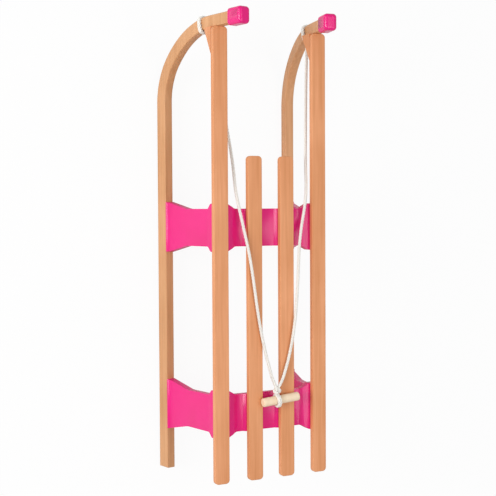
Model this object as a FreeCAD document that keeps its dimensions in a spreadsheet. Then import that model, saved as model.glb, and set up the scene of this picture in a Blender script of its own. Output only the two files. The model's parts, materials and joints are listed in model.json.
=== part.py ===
import FreeCAD, Part
import math
import os
import Sketcher
from FreeCAD import Placement, Rotation, Vector

# A child's wooden sled with bent runners that rise into two horns.
# Frame: +X forward (towards the horns), +Y left, +Z up, millimetres.
# The origin is on the ground, half way along and on the centre line.

doc = FreeCAD.newDocument("sled")
sheet = doc.addObject("Spreadsheet::Sheet", "Sizes")

DRIVING_SIZES = {
    # whole sled
    "tail_to_centre": 500.0,
    "track_half": 162.0,
    "deck_height": 229.5,
    # bent runners, drawn in a plane that leans inwards
    "runner_lean": 10.9,
    "runner_width": 20.0,
    "runner_depth": 32.0,
    "runner_edge": 2.0,
    "straight_run": 826.0,
    "low_bend_radius": 129.5,
    "low_bend_turn": 42.0,
    "high_bend_radius": 213.0,
    "horn_depth": 25.0,
    "horn_height": 310.0,
    # steel soles
    "sole_width": 14.0,
    "sole_thick": 2.0,
    # boards of the deck
    "board_width": 34.0,
    "board_thick": 12.0,
    "board_corner": 8.5,
    "board_edge": 1.5,
    "rail_offset": 120.0,
    "slat_offset": 39.0,
    "slat_length": 700.0,
    # moulded arches
    "front_arch_place": 546.6,
    "rear_arch_place": 146.7,
    "arch_waist": 81.0,
    "arch_seat": 103.0,
    "arch_foot": 113.0,
    "arch_skin": 4.0,
    "arch_rim": 18.0,
    "arch_corner": 13.0,
    "seat_rise": 5.0,
    "seat_margin": 15.0,
    "seat_ramp": 11.0,
    "slat_seat_margin": 2.0,
    "slat_seat_ramp": 5.0,
    "leg_inset": 5.0,
    "foot_lip": 3.0,
    "foot_flare_height": 18.0,
    "foot_spread_height": 74.0,
    "rib_thick": 4.0,
    # blocks under the front of the rails
    "block_length": 57.0,
    "block_height": 32.0,
    # caps on the horns
    "cap_depth": 36.0,
    "cap_width": 29.0,
    "cap_height": 41.0,
    "cap_top": 5.5,
    "cap_round": 8.0,
    # pull rope, its hitches and its handle
    "rope_diameter": 7.0,
    "hitch_height": 174.0,
    "hitch_turns": 2.0,
    "handle_diameter": 19.0,
    "handle_length": 89.0,
    "handle_round": 3.0,
    "handle_turn": 4.9,
    "handle_place": 172.4,
    "handle_side": -16.0,
    "knot_side": -8.0,
    "knot_radius": 8.5,
    "knot_reach": 20.0,
}

for row, (alias, value) in enumerate(DRIVING_SIZES.items(), start=1):
    sheet.set(f"A{row}", alias.replace("_", " "))
    sheet.set(f"B{row}", str(value))
    sheet.setAlias(f"B{row}", alias)
doc.recompute()


def size(alias):
    return float(getattr(sheet, alias))


# ---------------------------------------------------------------- places worked out from the sizes
LEAN = math.radians(size("runner_lean"))
TAIL = -size("tail_to_centre")
GROUND_LIFT = size("sole_width") / 2 * math.sin(LEAN)
RUNNER_TOP = size("sole_thick") + size("runner_depth")
RUNNER_CENTRE = size("sole_thick") + size("runner_depth") / 2
DECK_UNDER = size("deck_height") - size("board_thick")
CROSSBAR_TOP = DECK_UNDER - size("seat_rise")
CROSSBAR_UNDER = DECK_UNDER - size("arch_rim")
SIDES = {"left": 1, "right": -1}


def leaning(side):
    """Placement of a piece drawn upright in XZ onto the leaning plane of one runner."""
    turn = Rotation(Vector(1, 0, 0), side * size("runner_lean"))
    return Placement(Vector(TAIL, side * size("track_half"), GROUND_LIFT), turn)


def lean_point(outward, up):
    """Y and Z of a point on the left runner's plane, given across and along that plane."""
    y = size("track_half") + outward * math.cos(LEAN) - up * math.sin(LEAN)
    z = GROUND_LIFT + outward * math.sin(LEAN) + up * math.cos(LEAN)
    return y, z


def lean_across(outward, z):
    """Y where a line parallel to the left runner's plane reaches the height z."""
    up = (z - GROUND_LIFT - outward * math.sin(LEAN)) / math.cos(LEAN)
    return lean_point(outward, up)[0]


# ---------------------------------------------------------------- drawing helpers
def on_plane(plane, a, b):
    """A point of the XZ, YZ or XY plane."""
    if plane == "XZ":
        return Vector(a, 0, b)
    if plane == "YZ":
        return Vector(0, a, b)
    return Vector(a, b, 0)


def corner_arc(before, corner, after, radius):
    """The arc of that radius that rounds a corner, with its first and last points."""
    back = (before - corner).normalize()
    ahead = (after - corner).normalize()
    half = back.getAngle(ahead) / 2
    reach = radius / math.tan(half)
    start = corner + back * reach
    end = corner + ahead * reach
    middle = corner + (back + ahead).normalize() * (radius / math.sin(half) - radius)
    return start, Part.Arc(start, middle, end), end


def rounded_face(plane, corners):
    """A face inside a closed outline, given as (a, b, radius) corners."""
    points = [on_plane(plane, a, b) for a, b, _ in corners]
    count = len(points)
    edges = []
    ends = []
    for i, (_, _, radius) in enumerate(corners):
        if radius > 0:
            start, arc, end = corner_arc(points[i - 1], points[i], points[(i + 1) % count], radius)
            edges.append(arc.toShape())
            ends.append((start, end))
        else:
            ends.append((points[i], points[i]))
    for i in range(count):
        a = ends[i][1]
        b = ends[(i + 1) % count][0]
        if a.distanceToPoint(b) > 1e-6:
            edges.append(Part.LineSegment(a, b).toShape())
    wire = Part.Wire(Part.__sortEdges__(edges))
    return Part.Face(wire)


def feature(name, shape):
    item = doc.addObject("Part::Feature", name)
    item.Shape = shape
    return item


def extrusion(name, face, direction, length):
    """A face pushed out equally to both sides, its length taken from the sheet."""
    solid = doc.addObject("Part::Extrusion", name)
    solid.Base = face
    solid.DirMode = "Custom"
    solid.Dir = direction
    solid.Solid = True
    solid.Symmetric = True
    solid.setExpression("LengthFwd", length)
    return solid


def cut(name, base, tool):
    item = doc.addObject("Part::Cut", name)
    item.Base = base
    item.Tool = tool
    return item


def fuse(name, shapes):
    item = doc.addObject("Part::MultiFuse", name)
    item.Shapes = shapes
    return item


def common(name, shapes):
    item = doc.addObject("Part::MultiCommon", name)
    item.Shapes = shapes
    return item


def round_edges(name, base, chosen, radius):
    """A Part::Fillet over the edges of base that chosen(edge) picks."""
    doc.recompute()
    item = doc.addObject("Part::Fillet", name)
    item.Base = base
    picks = [i for i, edge in enumerate(base.Shape.Edges, start=1) if chosen(edge)]
    item.Edges = [(i, radius, radius) for i in picks]
    return item


nodes = {}


def keep(node, item):
    """Name the finished object of one sub-part."""
    item.Label = node
    nodes[node] = item


# ---------------------------------------------------------------- bent runners
def bend_line():
    """Centre line of the bend: heading in degrees, place along and up, and length so far."""
    low = size("low_bend_radius")
    high = size("high_bend_radius")
    turn = math.radians(size("low_bend_turn"))
    joint_x = size("straight_run") + low * math.sin(turn)
    joint_z = RUNNER_CENTRE + low * (1 - math.cos(turn))
    low_length = low * turn

    def at(heading):
        angle = math.radians(heading)
        if angle <= turn:
            x = size("straight_run") + low * math.sin(angle)
            z = RUNNER_CENTRE + low * (1 - math.cos(angle))
            return x, z, low * angle
        x = joint_x + high * (math.sin(angle) - math.sin(turn))
        z = joint_z + high * (math.cos(turn) - math.cos(angle))
        return x, z, low_length + high * (angle - turn)

    return at


bend_at = bend_line()
BEND_LENGTH = bend_at(90.0)[2]
HORN_CENTRE = bend_at(90.0)[0]
HORN_REAR = HORN_CENTRE - size("horn_depth") / 2


def depth_at(heading):
    """Depth of the bent wood, which thins evenly along the bend."""
    share = bend_at(heading)[2] / BEND_LENGTH
    return size("runner_depth") + (size("horn_depth") - size("runner_depth")) * share


def bend_point(heading, side, extra=0.0):
    """A point on the outer (+1) or inner (-1) contour of the bend."""
    x, z, _ = bend_at(heading)
    angle = math.radians(heading)
    offset = side * (depth_at(heading) / 2 + extra)
    return Vector(x + offset * math.sin(angle), 0, z - offset * math.cos(angle))


def bend_curve(first, last, side, extra=0.0):
    """A smooth contour between two headings, tangent to them at its ends."""
    steps = 4
    headings = [first + (last - first) * i / steps for i in range(steps + 1)]
    points = [bend_point(heading, side, extra) for heading in headings]
    start = math.radians(first)
    end = math.radians(last)
    curve = Part.BSplineCurve()
    curve.interpolate(
        Points=points,
        InitialTangent=Vector(math.cos(start), 0, math.sin(start)),
        FinalTangent=Vector(math.cos(end), 0, math.sin(end)),
    )
    return curve.toShape()


def line(a, b):
    return Part.LineSegment(a, b).toShape()


def runner_profile():
    turn = size("low_bend_turn")
    bottom = size("sole_thick")
    tip = size("horn_height")
    front = HORN_CENTRE + size("horn_depth") / 2
    edges = [
        line(Vector(0, 0, bottom), bend_point(0, 1)),
        bend_curve(0, turn, 1),
        bend_curve(turn, 90, 1),
        line(bend_point(90, 1), Vector(front, 0, tip)),
        line(Vector(front, 0, tip), Vector(HORN_REAR, 0, tip)),
        line(Vector(HORN_REAR, 0, tip), bend_point(90, -1)),
        bend_curve(turn, 90, -1),
        bend_curve(0, turn, -1),
        line(bend_point(0, -1), Vector(0, 0, RUNNER_TOP)),
        line(Vector(0, 0, RUNNER_TOP), Vector(0, 0, bottom)),
    ]
    return Part.Face(Part.Wire(Part.__sortEdges__(edges)))


def sole_profile():
    turn = size("low_bend_turn")
    thick = size("sole_thick")
    edges = [
        line(Vector(0, 0, thick), bend_point(0, 1)),
        bend_curve(0, turn, 1),
        line(bend_point(turn, 1), bend_point(turn, 1, thick)),
        bend_curve(0, turn, 1, thick),
        line(bend_point(0, 1, thick), Vector(0, 0, 0)),
        line(Vector(0, 0, 0), Vector(0, 0, thick)),
    ]
    return Part.Face(Part.Wire(Part.__sortEdges__(edges)))


def on_side_face(edge):
    """True for an outline edge on one of the two flat sides of the runner."""
    half = size("runner_width") / 2
    box = edge.BoundBox
    return abs(abs(box.YMin) - half) < 1e-4 and abs(box.YMax - box.YMin) < 1e-4


runners = {}
for side_name, side in SIDES.items():
    profile = feature(f"runner_{side_name}_profile", runner_profile())
    blank = extrusion(f"runner_{side_name}_blank", profile, Vector(0, 1, 0), "Sizes.runner_width")
    runner = round_edges(f"runner_{side_name}", blank, on_side_face, size("runner_edge"))
    runner.Placement = leaning(side)
    keep(f"runner_{side_name}", runner)
    runners[side] = runner

    profile = feature(f"runner_sole_{side_name}_profile", sole_profile())
    sole = extrusion(f"runner_sole_{side_name}", profile, Vector(0, 1, 0), "Sizes.sole_width")
    sole.Placement = leaning(side)
    keep(f"runner_sole_{side_name}", sole)


# ---------------------------------------------------------------- boards of the deck
def origin_plane(body, role):
    return next(item for item in body.Origin.OriginFeatures if item.Role == role)


def board_sketch(body, name, length):
    """A rectangle from the tail forwards, centred across, with its two sizes bound."""
    sketch = body.newObject("Sketcher::SketchObject", name)
    sketch.AttachmentSupport = [(origin_plane(body, "XY_Plane"), "")]
    sketch.MapMode = "FlatFace"
    half = size("board_width") / 2
    corners = [(0, -half), (600, -half), (600, half), (0, half)]
    for i in range(4):
        a = Vector(corners[i][0], corners[i][1], 0)
        b = Vector(corners[(i + 1) % 4][0], corners[(i + 1) % 4][1], 0)
        sketch.addGeometry(Part.LineSegment(a, b), False)
    for i in range(4):
        sketch.addConstraint(Sketcher.Constraint("Coincident", i, 2, (i + 1) % 4, 1))
    for i in (0, 2):
        sketch.addConstraint(Sketcher.Constraint("Horizontal", i))
    sketch.addConstraint(Sketcher.Constraint("Vertical", 1))
    sketch.addConstraint(Sketcher.Constraint("PointOnObject", 0, 1, -2))
    sketch.addConstraint(Sketcher.Constraint("Symmetric", 3, 1, 3, 2, -1))
    along = sketch.addConstraint(Sketcher.Constraint("DistanceX", 0, 1, 0, 2, 600.0))
    across = sketch.addConstraint(Sketcher.Constraint("DistanceY", 1, 1, 1, 2, 2 * half))
    sketch.setExpression(f"Constraints[{along}]", length)
    sketch.setExpression(f"Constraints[{across}]", "Sizes.board_width")
    return sketch


def is_upright(edge):
    box = edge.BoundBox
    return box.ZMax - box.ZMin > 1e-3 and box.XMax - box.XMin < 1e-4 and box.YMax - box.YMin < 1e-4


def is_level(edge):
    return edge.BoundBox.ZMax - edge.BoundBox.ZMin < 1e-4


def body_fillet(body, name, base, chosen, radius):
    """A PartDesign fillet on the edges of base that chosen(edge) picks."""
    doc.recompute()
    item = body.newObject("PartDesign::Fillet", name)
    picks = [f"Edge{i}" for i, edge in enumerate(base.Shape.Edges, start=1) if chosen(edge)]
    item.Base = (base, picks)
    item.setExpression("Radius", radius)
    return item


def board(node, length, offset):
    body = doc.addObject("PartDesign::Body", node)
    sketch = board_sketch(body, f"{node}_outline", length)
    pad = body.newObject("PartDesign::Pad", f"{node}_pad")
    pad.Profile = sketch
    pad.setExpression("Length", "Sizes.board_thick")
    corners = body_fillet(body, f"{node}_corners", pad, is_upright, "Sizes.board_corner")
    edges = body_fillet(body, f"{node}_edges", corners, is_level, "Sizes.board_edge")
    body.Tip = edges
    body.Placement = Placement(Vector(TAIL, offset, DECK_UNDER), Rotation())
    keep(node, body)
    return body


RAIL_LENGTH = (
    "Sizes.straight_run + Sizes.low_bend_radius * sin(Sizes.low_bend_turn)"
    " + Sizes.high_bend_radius * (1 - sin(Sizes.low_bend_turn)) - Sizes.horn_depth / 2"
)
for side_name, side in SIDES.items():
    board(f"rail_{side_name}", RAIL_LENGTH, side * size("rail_offset"))
    board(f"slat_{side_name}", "Sizes.slat_length", side * size("slat_offset"))


# ---------------------------------------------------------------- moulded arches
def both_halves(half):
    """A closed section outline from its left half, mirrored in the centre line."""
    return half + [(-y, z, radius) for y, z, radius in reversed(half)]


def arch_section():
    """Section across the sled: legs on the runners, and seats for the boards on top."""
    out = size("runner_width") / 2
    leg = out - size("leg_inset")
    lip_y, lip_z = lean_point(out, RUNNER_TOP + size("foot_lip"))
    flare_y, flare_z = lean_point(leg, RUNNER_TOP + size("foot_flare_height"))
    mid_y, mid_z = lean_point(leg + size("leg_inset") / 5, RUNNER_TOP + size("foot_flare_height") / 2)
    rail_inner = size("rail_offset") - size("board_width") / 2
    slat_inner = size("slat_offset") - size("board_width") / 2 - size("slat_seat_margin")
    slat_outer = size("slat_offset") + size("board_width") / 2 + size("slat_seat_margin")
    seat = rail_inner - size("seat_margin")
    inner_radius = size("arch_corner") + size("arch_skin")
    half = [
        (slat_inner - size("slat_seat_ramp"), CROSSBAR_TOP, 0),
        (slat_inner, DECK_UNDER, 0),
        (slat_outer, DECK_UNDER, 0),
        (slat_outer + size("slat_seat_ramp"), CROSSBAR_TOP, 0),
        (seat - size("seat_ramp"), CROSSBAR_TOP, 0),
        (seat, DECK_UNDER, 0),
        (lean_across(leg, DECK_UNDER), DECK_UNDER, size("arch_corner")),
        (flare_y, flare_z, 0),
        (mid_y, mid_z, 0),
        (lip_y, lip_z, 0),
        (*lean_point(out, RUNNER_TOP), 0),
        (*lean_point(-out, RUNNER_TOP), 0),
        (lean_across(-out, CROSSBAR_UNDER), CROSSBAR_UNDER, inner_radius),
    ]
    return rounded_face("YZ", both_halves(half))


def arch_hollow():
    """Section of the space inside the skin, open towards the inside of the arch."""
    beyond = size("arch_skin")
    out = size("runner_width") / 2
    leg = out - size("leg_inset") - size("arch_skin")
    top = CROSSBAR_TOP - size("arch_skin")
    under = CROSSBAR_UNDER - beyond
    floor = RUNNER_TOP + size("arch_skin")
    half = [
        (lean_across(leg, top), top, size("arch_corner") - size("arch_skin")),
        (*lean_point(leg, floor), 0),
        (*lean_point(-out - beyond, floor), 0),
        (lean_across(-out - beyond, under), under, size("arch_corner")),
    ]
    return rounded_face("YZ", both_halves(half))


def leg_outline(inset):
    """Side view of the legs: a spread foot, a waist, and a wider seat under the rail."""
    foot = size("arch_foot") / 2 - inset
    waist = size("arch_waist") / 2 - inset
    seat = size("arch_seat") / 2 - inset
    foot_z = RUNNER_TOP
    waist_z = RUNNER_TOP + size("foot_spread_height")
    half = [
        (foot, -size("arch_skin"), 0),
        (foot, foot_z, 10),
        (waist, waist_z, 60),
        (waist, CROSSBAR_UNDER - 13, 6),
        (seat, CROSSBAR_UNDER - 4, 6),
        (seat, DECK_UNDER + size("arch_rim"), 0),
    ]
    return rounded_face("XZ", both_halves(half))


def bar_outline(inset):
    """Top view of the crossbar: a waist between the seats of the two rails."""
    foot = size("arch_foot") / 2 + size("arch_skin")
    waist = size("arch_waist") / 2 - inset
    seat = size("arch_seat") / 2 - inset
    rail_inner = size("rail_offset") - size("board_width") / 2
    wide = rail_inner + 4
    quarter = [
        (foot, size("track_half") + size("runner_width"), 0),
        (foot, wide, 0),
        (seat, wide, 0),
        (seat, rail_inner - 3, 11),
        (waist, rail_inner - 22, 14),
    ]
    front = quarter + [(x, -y, radius) for x, y, radius in reversed(quarter)]
    return rounded_face("XY", front + [(-x, y, radius) for x, y, radius in reversed(front)])


def rib_box(name, length, width, centre_y):
    """An upright web that crosses the hollow from the crossbar's skin down."""
    box = doc.addObject("Part::Box", name)
    box.setExpression("Length", length)
    box.setExpression("Width", width)
    box.Height = size("deck_height")
    box.Placement = Placement(Vector(-box.Length.Value / 2, centre_y, CROSSBAR_UNDER), Rotation())
    return box


def arch(node, place):
    """One arch: the strip cut to its outline and hollowed, with webs left standing."""
    strip = extrusion(f"{node}_strip", feature(f"{node}_section", arch_section()), Vector(1, 0, 0), "Sizes.arch_foot")
    across = "2 * (Sizes.track_half + Sizes.runner_width)"
    side_cut = extrusion(f"{node}_side", feature(f"{node}_leg_outline", leg_outline(0)), Vector(0, 1, 0), across)
    top_cut = extrusion(f"{node}_top", feature(f"{node}_bar_outline", bar_outline(0)), Vector(0, 0, 1), "3 * Sizes.deck_height")
    shell = common(f"{node}_shell", [strip, side_cut, top_cut])

    skin = size("arch_skin")
    core = extrusion(f"{node}_core", feature(f"{node}_hollow", arch_hollow()), Vector(1, 0, 0), "Sizes.arch_foot")
    core_side = extrusion(f"{node}_core_side", feature(f"{node}_core_leg", leg_outline(skin)), Vector(0, 1, 0), across)
    core_top = extrusion(f"{node}_core_top", feature(f"{node}_core_bar", bar_outline(skin)), Vector(0, 0, 1), "3 * Sizes.deck_height")
    hollow = common(f"{node}_hollow_solid", [core, core_side, core_top])

    thick = size("rib_thick")
    ribs = []
    spine = doc.addObject("Part::Box", f"{node}_spine")
    spine.setExpression("Length", "Sizes.rib_thick")
    spine.setExpression("Width", across)
    spine.setExpression("Height", "Sizes.deck_height")
    spine.Placement = Placement(Vector(-thick / 2, -size("track_half") - size("runner_width"), 0), Rotation())
    ribs.append(spine)
    for index, offset in enumerate((-size("slat_offset"), 0.0, size("slat_offset"))):
        web = doc.addObject("Part::Box", f"{node}_web_{index}")
        web.setExpression("Length", "Sizes.arch_foot")
        web.setExpression("Width", "Sizes.rib_thick")
        web.setExpression("Height", "Sizes.arch_rim")
        web.Placement = Placement(Vector(-size("arch_foot") / 2, offset - thick / 2, CROSSBAR_UNDER), Rotation())
        ribs.append(web)
    pockets = cut(f"{node}_pockets", hollow, fuse(f"{node}_ribs", ribs))
    ribs_in_shell = cut(node, shell, pockets)
    ribs_in_shell.Placement = Placement(Vector(TAIL + size(place), 0, 0), Rotation())
    keep(node, ribs_in_shell)


arch("front_arch", "front_arch_place")
arch("rear_arch", "rear_arch_place")


# ---------------------------------------------------------------- blocks between rails and horns
def block_profile():
    """A wedge under the rail that grows forwards to the rear face of the horn."""
    length = size("block_length")
    height = size("block_height")
    front = TAIL + HORN_REAR
    return rounded_face(
        "XZ",
        [
            (front - length, DECK_UNDER, 0),
            (front, DECK_UNDER, 0),
            (front, DECK_UNDER - height, 0),
        ],
    )


for side_name, side in SIDES.items():
    profile = feature(f"horn_block_{side_name}_profile", block_profile())
    prism = extrusion(f"horn_block_{side_name}_prism", profile, Vector(0, 1, 0), "Sizes.board_width")
    prism.Placement = Placement(Vector(0, side * size("rail_offset"), 0), Rotation())
    keep(f"horn_block_{side_name}", cut(f"horn_block_{side_name}", prism, runners[side]))


# ---------------------------------------------------------------- caps on the horns
for side_name, side in SIDES.items():
    node = f"horn_cap_{side_name}"
    box = doc.addObject("Part::Box", f"{node}_box")
    box.setExpression("Length", "Sizes.cap_depth")
    box.setExpression("Width", "Sizes.cap_width")
    box.setExpression("Height", "Sizes.cap_height")
    doc.recompute()
    low = size("horn_height") + size("cap_top") - size("cap_height")

    def not_mouth(edge):
        """True for the upright edges and those round the closed top."""
        return edge.BoundBox.ZMax > 1e-3

    rounded = round_edges(f"{node}_round", box, not_mouth, size("cap_round"))
    inside = Vector(HORN_CENTRE - size("cap_depth") / 2, -size("cap_width") / 2, low)
    rounded.Placement = leaning(side).multiply(Placement(inside, Rotation()))
    keep(node, cut(node, rounded, runners[side]))


# ---------------------------------------------------------------- pull rope
# Each branch runs from the hitch on its horn to the knot at the handle, measured from the tail.
ROPE_ROUTE = {
    "left": [
        (946, 119, 180),
        (860, 107, 189.5),
        (765, 92, 200.5),
        (680, 82, 211),
        (628, 81.5, 219),
        (588, 75.5, 225),
        (545, 67, 229.5),
        (498, 58.5, 236),
        (446, 49.5, 237),
        (352, 35, 234.6),
        (272, 18.5, 235),
        (222, 4, 237),
    ],
    "right": [
        (946, -119, 180),
        (860, -111, 189),
        (765, -104, 199),
        (682, -98, 208.5),
        (632, -95, 217.5),
        (590, -86.5, 225),
        (545, -75, 228.5),
        (496, -67.5, 232),
        (436, -63, 235.5),
        (352, -56, 237),
        (290, -46, 236),
        (238, -32.5, 235.2),
        (214, -22, 236.5),
    ],
}


def from_tail(point):
    x, y, z = point
    return Vector(TAIL + x, y, z)


def rope_path(node, points):
    """Straight runs joined by tangent arcs as large as the runs allow."""
    edges = []
    radii = []
    here = points[0]
    for i in range(1, len(points) - 1):
        shorter = min(points[i].distanceToPoint(points[i - 1]), points[i].distanceToPoint(points[i + 1]))
        turn = (points[i] - points[i - 1]).getAngle(points[i + 1] - points[i])
        radius = 0.45 * shorter / math.tan(turn / 2)
        start, arc, end = corner_arc(points[i - 1], points[i], points[i + 1], radius)
        edges += [Part.LineSegment(here, start).toShape(), arc.toShape()]
        radii.append(radius)
        here = end
    edges.append(Part.LineSegment(here, points[-1]).toShape())
    print(node, "radii", [round(radius) for radius in radii], "length", round(sum(e.Length for e in edges), 1))
    return Part.Wire(edges)


def rope_tube(node, points):
    radius = size("rope_diameter") / 2
    path = rope_path(node, points)
    circle = Part.makeCircle(radius, points[0], points[1] - points[0])
    tube = path.makePipeShell([Part.Wire(circle)], True, False)
    expected = math.pi * radius**2 * path.Length
    print(node, "volume", round(tube.Volume), "expected", round(expected))
    keep(node, feature(node, tube))


def stub(name, end, beyond, length):
    """A short round bar of rope that ends square on the first or last point of a branch."""
    bar = doc.addObject("Part::Cylinder", name)
    bar.setExpression("Radius", "Sizes.rope_diameter / 2")
    bar.Height = length
    bar.Placement = Placement(end, Rotation(Vector(0, 0, 1), end - beyond))
    return bar


# heading and place of the horn where the rope is wound round it
hitch_heading = 90.0
while bend_point(hitch_heading, 0).z > size("hitch_height"):
    hitch_heading -= 0.05

for side_name, side in SIDES.items():
    route = [from_tail(point) for point in ROPE_ROUTE[side_name]]
    rope_tube(f"pull_rope_{side_name}", route)

    node = f"rope_hitch_{side_name}"
    rope = size("rope_diameter")
    ring = doc.addObject("Part::Box", f"{node}_ring")
    ring.setExpression("Length", "Sizes.horn_depth + 2 * Sizes.rope_diameter")
    ring.setExpression("Width", "Sizes.runner_width + 2 * Sizes.rope_diameter")
    ring.setExpression("Height", "Sizes.hitch_turns * Sizes.rope_diameter")
    doc.recompute()

    def stands(edge):
        """True for the four edges along the horn."""
        return edge.BoundBox.ZMax - edge.BoundBox.ZMin > 1e-3

    rounded = round_edges(f"{node}_round", ring, stands, rope)
    middle = Vector(ring.Length.Value / 2, ring.Width.Value / 2, ring.Height.Value / 2)
    tilt = Rotation(Vector(0, 1, 0), 90.0 - hitch_heading)
    place = Placement(bend_point(hitch_heading, 0), tilt)
    rounded.Placement = leaning(side).multiply(place).multiply(Placement(-middle, Rotation()))
    tail = stub(f"{node}_tail", route[0], route[1], 3.2 * rope)
    wound = fuse(f"{node}_wound", [rounded, tail])
    keep(node, cut(node, wound, runners[side]))


# ---------------------------------------------------------------- handle and its knot
def handle_placement():
    """Across the slats, resting on their tops, turned a little."""
    turn = Rotation(Vector(0, 0, 1), size("handle_turn")).multiply(Rotation(Vector(1, 0, 0), 90))
    along = turn.multVec(Vector(0, 0, 1))
    middle = Vector(
        TAIL + size("handle_place"),
        size("handle_side"),
        size("deck_height") + size("handle_diameter") / 2,
    )
    return Placement(middle - along * (size("handle_length") / 2), turn)


grip = doc.addObject("Part::Cylinder", "rope_handle_bar")
grip.setExpression("Radius", "Sizes.handle_diameter / 2")
grip.setExpression("Height", "Sizes.handle_length")
doc.recompute()


def is_rim(edge):
    return edge.Curve.TypeId == "Part::GeomCircle"


handle = round_edges("rope_handle", grip, is_rim, size("handle_round"))
handle.Placement = handle_placement()
keep("rope_handle", handle)

knot_centre = Vector(
    TAIL + size("handle_place") + size("knot_reach"),
    size("knot_side"),
    size("deck_height") + size("handle_diameter") / 2 - 1,
)
winding = doc.addObject("Part::Cylinder", "handle_knot_winding")
winding.setExpression("Radius", "Sizes.handle_diameter / 2 + Sizes.rope_diameter * 0.9")
winding.setExpression("Height", "2 * Sizes.rope_diameter")
along = handle_placement().Rotation.multVec(Vector(0, 0, 1))
middle = handle_placement().Base + along * (size("handle_length") / 2)
reach = (size("knot_side") - size("handle_side")) / along.y
winding_start = middle + along * (reach - size("rope_diameter"))
winding.Placement = Placement(winding_start, handle_placement().Rotation)
lump = doc.addObject("Part::Sphere", "handle_knot_lump")
lump.setExpression("Radius", "Sizes.knot_radius")
lump.Placement = Placement(knot_centre, Rotation())
pieces = [winding, lump]
for side_name in SIDES:
    route = [from_tail(point) for point in ROPE_ROUTE[side_name]]
    length = route[-1].distanceToPoint(knot_centre)
    pieces.append(stub(f"handle_knot_{side_name}", route[-1], route[-2], length))
knot = cut("handle_knot", fuse("handle_knot_solid", pieces), handle)
keep("handle_knot", knot)


# ---------------------------------------------------------------- check and write
doc.recompute()
for item in doc.Objects:
    if "Invalid" in item.State or "Error" in item.State:
        raise RuntimeError(f"{item.Name} did not build: {item.State}")
os.makedirs("parts", exist_ok=True)
for node, item in nodes.items():
    shape = item.Shape
    if shape.isNull() or not shape.isValid():
        raise RuntimeError(f"{node} has no valid shape")
    shape.exportStep(f"parts/{node}.step")
    box = shape.BoundBox
    print(
        f"{node:22s} solids {len(shape.Solids)} volume {shape.Volume / 1000:9.2f} cm3 "
        f"x {box.XMin:7.1f} {box.XMax:7.1f} y {box.YMin:7.1f} {box.YMax:7.1f} z {box.ZMin:6.2f} {box.ZMax:6.1f}"
    )
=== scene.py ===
"""Looks of a child's wooden sled with moulded arches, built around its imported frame."""

import json
import logging
import math
from dataclasses import dataclass
from enum import Enum

import bpy
from mathutils import Matrix, Vector

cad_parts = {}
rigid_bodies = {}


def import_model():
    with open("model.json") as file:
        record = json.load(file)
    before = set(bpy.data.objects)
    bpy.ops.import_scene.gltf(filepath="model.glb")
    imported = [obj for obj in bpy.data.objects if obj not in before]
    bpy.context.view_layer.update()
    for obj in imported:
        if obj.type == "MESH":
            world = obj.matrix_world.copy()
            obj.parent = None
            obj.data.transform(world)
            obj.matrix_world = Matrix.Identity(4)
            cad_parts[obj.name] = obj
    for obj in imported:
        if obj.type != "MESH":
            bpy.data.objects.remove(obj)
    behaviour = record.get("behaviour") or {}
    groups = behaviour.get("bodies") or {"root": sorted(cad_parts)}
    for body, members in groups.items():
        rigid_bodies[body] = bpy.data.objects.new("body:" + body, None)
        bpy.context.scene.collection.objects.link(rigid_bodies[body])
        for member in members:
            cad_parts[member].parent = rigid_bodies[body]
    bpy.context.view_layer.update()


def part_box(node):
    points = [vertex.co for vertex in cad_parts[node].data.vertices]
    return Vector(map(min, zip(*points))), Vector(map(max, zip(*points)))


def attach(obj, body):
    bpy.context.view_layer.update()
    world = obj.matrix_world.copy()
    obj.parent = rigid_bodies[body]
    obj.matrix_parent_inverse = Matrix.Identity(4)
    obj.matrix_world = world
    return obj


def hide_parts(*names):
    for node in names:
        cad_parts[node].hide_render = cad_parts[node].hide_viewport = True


log = logging.getLogger("sled")
Colour = tuple[float, float, float, float]


class Side(Enum):
    """The two sides of the sled, with the sign of their Y."""

    LEFT = 1
    RIGHT = -1

    @property
    def word(self) -> str:
        """The side's name as node names spell it."""
        return self.name.lower()


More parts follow.
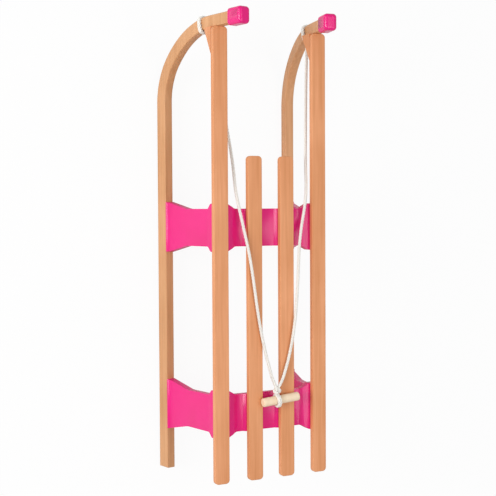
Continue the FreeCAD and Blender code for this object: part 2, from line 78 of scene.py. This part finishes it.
# ------------------------------------------------------------------ finishes
class Finish:
    """A node material under construction, with short ways to add and join its nodes."""

    def __init__(self, name: str) -> None:
        """Start an empty material that holds only its surface shader.

        Args:
            name: the material's name.
        """
        self.material = bpy.data.materials.new(name)
        self.material.use_nodes = True
        self.tree = self.material.node_tree
        self.shader = self.tree.nodes["Principled BSDF"]

    def add(self, kind: str, **values: object) -> bpy.types.Node:
        """Add a node and set its attributes or input sockets.

        Args:
            kind: the node's class name without its prefix.
            **values: attribute or socket names with spaces as underscores.

        Returns:
            The new node.
        """
        node = self.tree.nodes.new("ShaderNode" + kind)
        for key, value in values.items():
            if hasattr(node, key):
                setattr(node, key, value)
            else:
                node.inputs[key.replace("_", " ")].default_value = value
        return node

    def join(self, source: bpy.types.NodeSocket, target: bpy.types.NodeSocket) -> None:
        """Link two sockets.

        Args:
            source: the socket that gives the value.
            target: the socket that takes it.
        """
        self.tree.links.new(source, target)

    def ramp(
        self, factor: bpy.types.NodeSocket, stops: list[tuple[float, Colour]]
    ) -> bpy.types.NodeSocket:
        """Turn a factor into a colour.

        Args:
            factor: the socket that drives the ramp.
            stops: places and colours of the ramp, in order.

        Returns:
            The ramp's colour socket.
        """
        node = self.add("ValToRGB")
        elements = node.color_ramp.elements
        while len(elements) < len(stops):
            elements.new(0.5)
        for element, (place, colour) in zip(elements, stops):
            element.position = place
            element.color = colour
        self.join(factor, node.inputs["Fac"])
        return node.outputs["Color"]

    def bump(self, height: bpy.types.NodeSocket, strength: float, distance: float) -> None:
        """Raise the surface by a height socket.

        Args:
            height: the socket that gives the height.
            strength: how strongly the height shows, from 0 to 1.
            distance: the greatest height, in metres.
        """
        node = self.add("Bump", Strength=strength, Distance=distance)
        self.join(height, node.inputs["Height"])
        self.join(node.outputs["Normal"], self.shader.inputs["Normal"])


@dataclass(frozen=True)
class WoodFinish:
    """Planed and varnished beech, with its grain along the piece."""

    name: str
    pale: Colour
    deep: Colour
    roughness: float = 0.42
    grain: tuple[float, float, float] = (5.0, 150.0, 150.0)

    def build(self) -> bpy.types.Material:
        """Make the node material."""
        finish = Finish(self.name)
        place = finish.add("TexCoord")
        stretch = finish.add("Mapping", Scale=self.grain)
        finish.join(place.outputs["Object"], stretch.inputs["Vector"])
        fibres = finish.add("TexNoise", Scale=1.0, Detail=6.0, Roughness=0.62)
        finish.join(stretch.outputs["Vector"], fibres.inputs["Vector"])
        broad = finish.add("TexNoise", Scale=7.0, Detail=2.0)
        finish.join(place.outputs["Object"], broad.inputs["Vector"])
        blend = finish.add("Mix", data_type="FLOAT")
        blend.inputs["Factor"].default_value = 0.4
        finish.join(fibres.outputs["Fac"], blend.inputs["A"])
        finish.join(broad.outputs["Fac"], blend.inputs["B"])
        colour = finish.ramp(blend.outputs["Result"], [(0.34, self.deep), (0.64, self.pale)])
        finish.join(colour, finish.shader.inputs["Base Color"])
        finish.shader.inputs["Roughness"].default_value = self.roughness
        finish.shader.inputs["Specular IOR Level"].default_value = 0.28
        finish.bump(fibres.outputs["Fac"], 0.12, 0.0006)
        return finish.material


@dataclass(frozen=True)
class PlasticFinish:
    """Glossy moulded plastic with a faint moulded texture."""

    name: str
    colour: Colour
    shade: Colour
    roughness: float = 0.22

    def build(self) -> bpy.types.Material:
        """Make the node material."""
        finish = Finish(self.name)
        place = finish.add("TexCoord")
        cloud = finish.add("TexNoise", Scale=9.0, Detail=3.0)
        finish.join(place.outputs["Object"], cloud.inputs["Vector"])
        colour = finish.ramp(cloud.outputs["Fac"], [(0.35, self.shade), (0.65, self.colour)])
        finish.join(colour, finish.shader.inputs["Base Color"])
        grain = finish.add("TexNoise", Scale=900.0, Detail=2.0)
        finish.join(place.outputs["Object"], grain.inputs["Vector"])
        finish.shader.inputs["Roughness"].default_value = self.roughness
        finish.shader.inputs["Coat Weight"].default_value = 0.05
        finish.shader.inputs["Coat Roughness"].default_value = 0.12
        finish.bump(grain.outputs["Fac"], 0.05, 0.0002)
        return finish.material


@dataclass(frozen=True)
class SteelFinish:
    """Rolled steel, brushed along the runner."""

    name: str

    def build(self) -> bpy.types.Material:
        """Make the node material."""
        finish = Finish(self.name)
        place = finish.add("TexCoord")
        stretch = finish.add("Mapping", Scale=(8.0, 600.0, 600.0))
        finish.join(place.outputs["Object"], stretch.inputs["Vector"])
        lines = finish.add("TexNoise", Scale=1.0, Detail=4.0)
        finish.join(stretch.outputs["Vector"], lines.inputs["Vector"])
        tone = [(0.3, (0.42, 0.42, 0.44, 1.0)), (0.7, (0.66, 0.66, 0.68, 1.0))]
        finish.join(finish.ramp(lines.outputs["Fac"], tone), finish.shader.inputs["Base Color"])
        finish.shader.inputs["Metallic"].default_value = 1.0
        finish.shader.inputs["Roughness"].default_value = 0.32
        finish.bump(lines.outputs["Fac"], 0.1, 0.0003)
        return finish.material


@dataclass(frozen=True)
class RopeFinish:
    """Soft laid cord with fine fibres."""

    name: str
    pale: Colour
    deep: Colour

    def build(self) -> bpy.types.Material:
        """Make the node material."""
        finish = Finish(self.name)
        place = finish.add("TexCoord")
        fibres = finish.add("TexNoise", Scale=700.0, Detail=4.0)
        finish.join(place.outputs["Object"], fibres.inputs["Vector"])
        colour = finish.ramp(fibres.outputs["Fac"], [(0.3, self.deep), (0.6, self.pale)])
        finish.join(colour, finish.shader.inputs["Base Color"])
        finish.shader.inputs["Roughness"].default_value = 0.85
        finish.shader.inputs["Sheen Weight"].default_value = 0.25
        finish.bump(fibres.outputs["Fac"], 0.4, 0.0004)
        return finish.material


# ------------------------------------------------------------------ shared modelling
MERGE_DISTANCE = 0.00002
FLAT_ANGLE = math.radians(1.0)
SHARP_ANGLE = math.radians(30.0)
BEVEL_SEGMENTS = 3


def dress(piece: bpy.types.Object, material: bpy.types.Material) -> None:
    """Give a piece one material in place of those it has.

    Args:
        piece: the piece to dress.
        material: its new material.
    """
    piece.data.materials.clear()
    piece.data.materials.append(material)


def select_only(piece: bpy.types.Object) -> None:
    """Deselect everything, then select one object and make it active.

    Args:
        piece: the object to select.
    """
    bpy.ops.object.select_all(action="DESELECT")
    piece.select_set(True)
    bpy.context.view_layer.objects.active = piece


def finished_copy(node: str, name: str, bevel: float = 0.0) -> bpy.types.Object:
    """Copy a node's mesh, merge it, soften its sharp edges and smooth its shading.

    Args:
        node: the frame's node that the copy stands for.
        name: the new piece's name.
        bevel: width of the rounding on sharp edges, in metres, or 0 to leave them.

    Returns:
        The finished piece, which replaces the node.
    """
    source = bpy.data.objects[node]
    piece = source.copy()
    piece.data = source.data.copy()
    piece.name = name
    bpy.context.scene.collection.objects.link(piece)
    select_only(piece)
    bpy.ops.object.mode_set(mode="EDIT")
    bpy.ops.mesh.select_all(action="SELECT")
    bpy.ops.mesh.remove_doubles(threshold=MERGE_DISTANCE)
    bpy.ops.mesh.dissolve_limited(angle_limit=FLAT_ANGLE)
    bpy.ops.object.mode_set(mode="OBJECT")
    if bevel > 0:
        modifier = piece.modifiers.new("rounding", "BEVEL")
        modifier.width = bevel
        modifier.segments = BEVEL_SEGMENTS
        modifier.limit_method = "ANGLE"
        modifier.angle_limit = SHARP_ANGLE
        modifier.use_clamp_overlap = True
        bpy.ops.object.modifier_apply(modifier="rounding")
    bpy.ops.object.shade_smooth_by_angle(angle=SHARP_ANGLE)
    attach(piece, "root")
    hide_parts(node)
    return piece


def read_line(points: list[Vector], name: str) -> list[Vector]:
    """Points along the smooth line of an open NURBS spline through a route.

    Args:
        points: the spline's control points.
        name: name of the curve while it is read.

    Returns:
        The points of the line, a few millimetres apart.
    """
    curve = bpy.data.curves.new(name, "CURVE")
    curve.dimensions = "3D"
    spline = curve.splines.new("NURBS")
    spline.points.add(len(points) - 1)
    for point, place in zip(spline.points, points):
        point.co = (*place, 1.0)
    spline.order_u = 3
    spline.use_endpoint_u = True
    spline.resolution_u = 24
    holder = bpy.data.objects.new(name, curve)
    bpy.context.scene.collection.objects.link(holder)
    mesh = bpy.data.meshes.new_from_object(holder)
    line = [vertex.co.copy() for vertex in mesh.vertices]
    bpy.data.objects.remove(holder)
    bpy.data.meshes.remove(mesh)
    return line


@dataclass
class LaidRope:
    """Twisted cord: strands that wind round each other along any line.

    A strand's middle lies strand_reach diameters from the rope's middle, and strand_width
    is how much wider it is across than outwards.
    """

    diameter: float = 0.007
    strand_reach: float = 0.27
    strand_width: float = 1.35
    strands: int = 3
    lay_length: float = 0.021
    sides: int = 8
    step: float = 0.0018

    def spaced(self, line: list[Vector]) -> list[Vector]:
        """The line's points again, evenly spaced.

        Args:
            line: points along the rope's middle.

        Returns:
            Points that are one step apart, with both ends kept.
        """
        lengths = [0.0]
        for a, b in zip(line, line[1:]):
            lengths.append(lengths[-1] + (b - a).length)
        count = max(4, round(lengths[-1] / self.step))
        result = []
        index = 0
        for i in range(count + 1):
            target = lengths[-1] * i / count
            while index < len(lengths) - 2 and lengths[index + 1] < target:
                index += 1
            span = lengths[index + 1] - lengths[index]
            share = (target - lengths[index]) / span if span else 0.0
            result.append(line[index].lerp(line[index + 1], share))
        return result

    def mesh(self, lines: list[list[Vector]], name: str) -> bpy.types.Object:
        """Build strands along one or more lines as one object.

        Args:
            lines: middle lines of the rope.
            name: the new object's name.

        Returns:
            The object, linked to the scene.
        """
        vertices: list[Vector] = []
        faces: list[tuple[int, ...]] = []
        reach = self.diameter * self.strand_reach
        thick = self.diameter * 0.5 - reach
        for line in lines:
            path = self.spaced(line)
            normal = (path[1] - path[0]).orthogonal().normalized()
            for strand in range(self.strands):
                first = len(vertices)
                frame = normal.copy()
                for i, place in enumerate(path):
                    ahead = (path[min(i + 1, len(path) - 1)] - path[max(i - 1, 0)]).normalized()
                    frame = (frame - ahead * frame.dot(ahead)).normalized()
                    other = ahead.cross(frame)
                    twist = 2 * math.pi * (i * self.step / self.lay_length + strand / self.strands)
                    outward = frame * math.cos(twist) + other * math.sin(twist)
                    across = ahead.cross(outward)
                    for side in range(self.sides):
                        turn = 2 * math.pi * side / self.sides
                        rise = reach + thick * math.cos(turn)
                        spread = thick * math.sin(turn) * self.strand_width
                        vertices.append(place + (outward * rise + across * spread))
                for i in range(len(path) - 1):
                    a = first + i * self.sides
                    for side in range(self.sides):
                        b = (side + 1) % self.sides
                        faces.append((a + side, a + b, a + self.sides + b, a + self.sides + side))
                last = first + (len(path) - 1) * self.sides
                faces.append(tuple(first + side for side in reversed(range(self.sides))))
                faces.append(tuple(last + side for side in range(self.sides)))
        mesh = bpy.data.meshes.new(name)
        mesh.from_pydata(vertices, [], faces)
        mesh.update()
        piece = bpy.data.objects.new(name, mesh)
        bpy.context.scene.collection.objects.link(piece)
        select_only(piece)
        bpy.ops.object.shade_smooth()
        return piece


# ------------------------------------------------------------------ sub-assemblies
@dataclass
class Boards:
    """The four boards of the deck, the blocks and the bent runners, all of wood."""

    board_wood: WoodFinish
    runner_wood: WoodFinish

    def build(self) -> None:
        """Finish every wooden piece of the frame."""
        board = self.board_wood.build()
        runner = self.runner_wood.build()
        for side in Side:
            for part in ("rail", "slat", "horn_block"):
                piece = finished_copy(f"{part}_{side.word}", f"{part}_{side.word}_wood")
                dress(piece, board)
                log.info("wood on %s", piece.name)
            piece = finished_copy(f"runner_{side.word}", f"runner_{side.word}_wood")
            dress(piece, runner)
            log.info("wood on %s", piece.name)


@dataclass
class Mouldings:
    """The arches and the horn caps."""

    plastic: PlasticFinish
    arch_rounding: float = 0.0022

    def build(self) -> None:
        """Round and colour the moulded pieces."""
        material = self.plastic.build()
        for node in ("front_arch", "rear_arch"):
            piece = finished_copy(node, f"{node}_moulding", self.arch_rounding)
            dress(piece, material)
            log.info("plastic on %s", piece.name)
        for side in Side:
            piece = finished_copy(f"horn_cap_{side.word}", f"horn_cap_{side.word}_moulding")
            dress(piece, material)
            log.info("plastic on %s", piece.name)


@dataclass
class Soles:
    """Steel strips under the runners."""

    steel: SteelFinish

    def build(self) -> None:
        """Colour the strips."""
        material = self.steel.build()
        for side in Side:
            dress(bpy.data.objects[f"runner_sole_{side.word}"], material)
            log.info("steel on the %s sole", side.word)


# Each branch from its horn to the knot, in metres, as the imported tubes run.
ROUTES: dict[Side, list[tuple[float, float, float]]] = {
    Side.LEFT: [
        (0.446, 0.119, 0.180),
        (0.360, 0.107, 0.1895),
        (0.265, 0.092, 0.2005),
        (0.180, 0.082, 0.211),
        (0.128, 0.0815, 0.219),
        (0.088, 0.0755, 0.225),
        (0.045, 0.067, 0.2295),
        (-0.002, 0.0585, 0.236),
        (-0.054, 0.0495, 0.237),
        (-0.148, 0.035, 0.2346),
        (-0.228, 0.0185, 0.235),
        (-0.278, 0.004, 0.237),
    ],
    Side.RIGHT: [
        (0.446, -0.119, 0.180),
        (0.360, -0.111, 0.189),
        (0.265, -0.104, 0.199),
        (0.182, -0.098, 0.2085),
        (0.132, -0.095, 0.2175),
        (0.090, -0.0865, 0.225),
        (0.045, -0.075, 0.2285),
        (-0.004, -0.0675, 0.232),
        (-0.064, -0.063, 0.2355),
        (-0.148, -0.056, 0.237),
        (-0.210, -0.046, 0.236),
        (-0.262, -0.0325, 0.2352),
        (-0.286, -0.022, 0.2365),
    ],
}


@dataclass(frozen=True)
class Horn:
    """The left horn's section and slopes where the rope is tied round it, in metres and degrees."""

    place: tuple[float, float, float] = (0.4793, 0.1286, 0.1722)
    half_depth: float = 0.01275
    half_width: float = 0.010
    inward_lean: float = 10.9
    back_slope: float = 9.6


@dataclass(frozen=True)
class Hitch:
    """Turns of rope round a horn; squareness 1 would be a plain ellipse."""

    turns: float = 2.0
    steps: int = 48
    start: float = 1.12
    squareness: float = 0.55
    pitch: float = 0.95
    clearance: float = 0.0003


@dataclass(frozen=True)
class GripKnot:
    """The winding on the handle and the knot ahead of it, in metres and degrees."""

    turns: float = 2.0
    steps: int = 40
    radius: float = 0.0095
    turned: float = 4.9
    winding_shift: float = 0.008
    knot_place: tuple[float, float, float] = (-0.3076, -0.008, 0.238)
    knot_scale: float = 0.0021
    knot_height: float = 1.2
    knot_steps: int = 72


@dataclass
class PullRope:
    """Both branches of the rope, their hitches on the horns, and the handle with its knot."""

    cord: RopeFinish
    grip: WoodFinish
    rope: LaidRope
    horn: Horn = Horn()
    winding: Hitch = Hitch()
    handle: GripKnot = GripKnot()

    def middle(self, node: str) -> Vector:
        """The centre of a node's box.

        Args:
            node: the node's name.

        Returns:
            The centre, in metres.
        """
        low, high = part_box(node)
        return (Vector(low) + Vector(high)) / 2

    def hitch(self, side: Side) -> list[Vector]:
        """Turns of rope round one horn, from the branch's end.

        Args:
            side: which horn.

        Returns:
            Points of the winding's middle line.
        """
        start = Vector(ROUTES[side][0])
        lean = math.radians(self.horn.inward_lean) * side.value
        slope = math.radians(self.horn.back_slope)
        tilt = Matrix.Rotation(lean, 3, "X") @ Matrix.Rotation(slope, 3, "Y")
        x, y, z = self.horn.place
        centre = Vector((x, side.value * y, z))
        half_x = self.horn.half_depth + self.rope.diameter / 2 + self.winding.clearance
        half_y = self.horn.half_width + self.rope.diameter / 2 + self.winding.clearance
        points = [start]
        steps = self.winding.steps
        bend = self.winding.squareness
        for i in range(int(steps * self.winding.turns) + 1):
            turn = math.pi * self.winding.start + 2 * math.pi * i / steps
            round_x = abs(math.cos(turn)) ** bend * math.copysign(1, math.cos(turn))
            round_y = abs(math.sin(turn)) ** bend * math.copysign(1, math.sin(turn))
            down = 0.5 - i / (steps * self.winding.turns)
            height = down * self.rope.diameter * self.winding.pitch
            local = Vector((round_x * half_x, side.value * round_y * half_y, height))
            points.append(centre + tilt @ local)
        return points

    def knot(self) -> list[list[Vector]]:
        """Winding on the handle, a knot ahead of it, and both ends of the branches.

        Returns:
            The middle lines of all three.
        """
        radius = self.handle.radius + self.rope.diameter / 2
        turn_angle = math.radians(self.handle.turned)
        along = Vector((math.sin(turn_angle), -math.cos(turn_angle), 0.0))
        across = Vector((math.cos(turn_angle), math.sin(turn_angle), 0.0))
        centre = self.middle("rope_handle") - along * self.handle.winding_shift
        winding = []
        steps = self.handle.steps
        for i in range(int(steps * self.handle.turns) + 1):
            turn = 2 * math.pi * i / steps
            shift = (i / (steps * self.handle.turns) - 0.5) * self.rope.diameter
            place = centre + along * shift
            rise = Vector((0, 0, radius * math.sin(turn)))
            winding.append(place + across * (radius * math.cos(turn)) + rise)
        heart = Vector(self.handle.knot_place)
        lump = []
        for i in range(self.handle.knot_steps + 1):
            turn = 2 * math.pi * i / self.handle.knot_steps
            ring = 2 + math.cos(3 * turn)
            height = self.handle.knot_height * math.sin(3 * turn)
            loop = Vector((ring * math.cos(2 * turn), ring * math.sin(2 * turn), height))
            lump.append(heart + loop * self.handle.knot_scale)
        tips = [Vector(ROUTES[side][-1]) for side in Side]
        ends = [[tip, heart.lerp(tip, 0.5), heart] for tip in tips]
        return [winding, lump, *ends]

    def build(self) -> None:
        """Make the rope, its windings, its knot and its handle."""
        material = self.cord.build()
        grip = finished_copy("rope_handle", "rope_handle_wood")
        dress(grip, self.grip.build())
        knot = self.rope.mesh(self.knot(), "handle_knot_cord")
        dress(knot, material)
        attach(knot, "root")
        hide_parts("handle_knot")
        for side in Side:
            winding = self.rope.mesh([self.hitch(side)], f"rope_hitch_{side.word}_cord")
            dress(winding, material)
            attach(winding, "root")
            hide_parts(f"rope_hitch_{side.word}")
            line = read_line([Vector(point) for point in ROUTES[side]], f"route_{side.word}")
            branch = self.rope.mesh([line], f"pull_rope_{side.word}_cord")
            dress(branch, material)
            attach(branch, "root")
            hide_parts(f"pull_rope_{side.word}")


# ------------------------------------------------------------------ studio
@dataclass(frozen=True)
class Lamp:
    """A soft square lamp: where it hangs, its power in watts and its side in metres."""

    name: str
    place: tuple[float, float, float]
    power: float
    size: float


@dataclass
class Studio:
    """Pale floor, soft lamps and the camera."""

    camera_place: Vector
    lamps: tuple[Lamp, ...]
    lens: float = 79.2
    camera_tilt: tuple[float, float, float] = (-2.15, 0.20, 0.29)
    lamp_target: tuple[float, float, float] = (0, 0, 0.15)
    floor_glow: float = 0.93
    floor_half: float = 12.0
    world_light: float = 0.45

    def camera(self) -> None:
        """Place the camera above the left side, with the sled's front at the top of the view."""
        right = Vector((0.0, -0.88766, 0.46051))
        up = Vector((1.0, 0.0, 0.0))
        ahead = Vector((0.0, -0.46051, -0.88766))
        turn = Vector([math.radians(angle) for angle in self.camera_tilt])
        basis = Matrix((right, up, ahead))
        rows = Matrix.Rotation(turn.length, 3, turn.normalized()) @ basis
        data = bpy.data.cameras.new("view")
        data.lens = self.lens
        data.sensor_width = 36.0
        data.clip_end = 60.0
        camera = bpy.data.objects.new("view", data)
        columns = Matrix((rows[0], rows[1], -rows[2])).transposed()
        camera.matrix_world = Matrix.Translation(self.camera_place) @ columns.to_4x4()
        bpy.context.scene.collection.objects.link(camera)
        bpy.context.scene.camera = camera

    def floor(self) -> None:
        """Lay a pale floor that shows white but keeps a soft shadow."""
        bpy.ops.mesh.primitive_plane_add(size=2 * self.floor_half, location=(0, 0, 0))
        plane = bpy.context.object
        plane.name = "studio_floor"
        finish = Finish("studio_floor")
        finish.shader.inputs["Base Color"].default_value = (0.86, 0.86, 0.86, 1.0)
        finish.shader.inputs["Roughness"].default_value = 0.9
        glow = finish.add("Emission", Color=(1.0, 1.0, 1.0, 1.0), Strength=1.0)
        seen = finish.add("LightPath")
        share = finish.add("Math", operation="MULTIPLY")
        share.inputs[1].default_value = self.floor_glow
        finish.join(seen.outputs["Is Camera Ray"], share.inputs[0])
        mix = finish.add("MixShader")
        finish.join(share.outputs["Value"], mix.inputs[0])
        finish.join(finish.shader.outputs["BSDF"], mix.inputs[1])
        finish.join(glow.outputs["Emission"], mix.inputs[2])
        output = finish.tree.nodes["Material Output"]
        finish.join(mix.outputs["Shader"], output.inputs["Surface"])
        dress(plane, finish.material)

    def hang(self, lamp: Lamp) -> None:
        """Hang a soft square lamp that points at the sled.

        Args:
            lamp: the lamp to hang.
        """
        data = bpy.data.lights.new(lamp.name, "AREA")
        data.energy = lamp.power
        data.size = lamp.size
        holder = bpy.data.objects.new(lamp.name, data)
        holder.location = lamp.place
        aim = Vector(self.lamp_target) - Vector(lamp.place)
        holder.rotation_euler = aim.to_track_quat("-Z", "Y").to_euler()
        bpy.context.scene.collection.objects.link(holder)

    def sky(self) -> None:
        """Light the scene softly from all round, and show white where nothing stands."""
        world = bpy.data.worlds.new("studio")
        world.use_nodes = True
        tree = world.node_tree
        tree.nodes["Background"].inputs["Color"].default_value = (1.0, 1.0, 1.0, 1.0)
        seen = tree.nodes.new("ShaderNodeLightPath")
        strength = tree.nodes.new("ShaderNodeMapRange")
        strength.inputs["To Min"].default_value = self.world_light
        tree.links.new(seen.outputs["Is Camera Ray"], strength.inputs["Value"])
        tree.links.new(strength.outputs["Result"], tree.nodes["Background"].inputs["Strength"])
        bpy.context.scene.world = world

    def build(self) -> None:
        """Set up the whole studio."""
        self.camera()
        self.floor()
        for lamp in self.lamps:
            self.hang(lamp)
        self.sky()
        bpy.context.scene.view_settings.view_transform = "Standard"


def main() -> None:
    """Build the studio, the rope first, then every other piece."""
    logging.basicConfig(level=logging.INFO, format="%(name)s: %(message)s")
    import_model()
    Studio(
        camera_place=Vector((0.0905, 1.1236, 2.3040)),
        lamps=(
            Lamp("key", (0.3, 2.9, 1.5), 57.0, 1.6),
            Lamp("top", (-0.3, -0.4, 3.2), 35.0, 2.4),
        ),
    ).build()
    PullRope(
        cord=RopeFinish("white_cord", (0.95, 0.93, 0.88, 1.0), (0.84, 0.80, 0.73, 1.0)),
        grip=WoodFinish("pale_grip_wood", (0.97, 0.80, 0.60, 1.0), (0.88, 0.68, 0.46, 1.0), 0.5),
        rope=LaidRope(),
    ).build()
    Boards(
        board_wood=WoodFinish("varnished_boards", (0.83, 0.375, 0.18, 1.0), (0.66, 0.262, 0.102, 1.0)),
        runner_wood=WoodFinish("varnished_runners", (0.74, 0.40, 0.20, 1.0), (0.58, 0.28, 0.12, 1.0)),
    ).build()
    Mouldings(
        plastic=PlasticFinish("pink_moulding", (0.84, 0.006, 0.22, 1.0), (0.78, 0.005, 0.185, 1.0)),
    ).build()
    Soles(steel=SteelFinish("rolled_steel")).build()


if __name__ == "__main__":
    main()
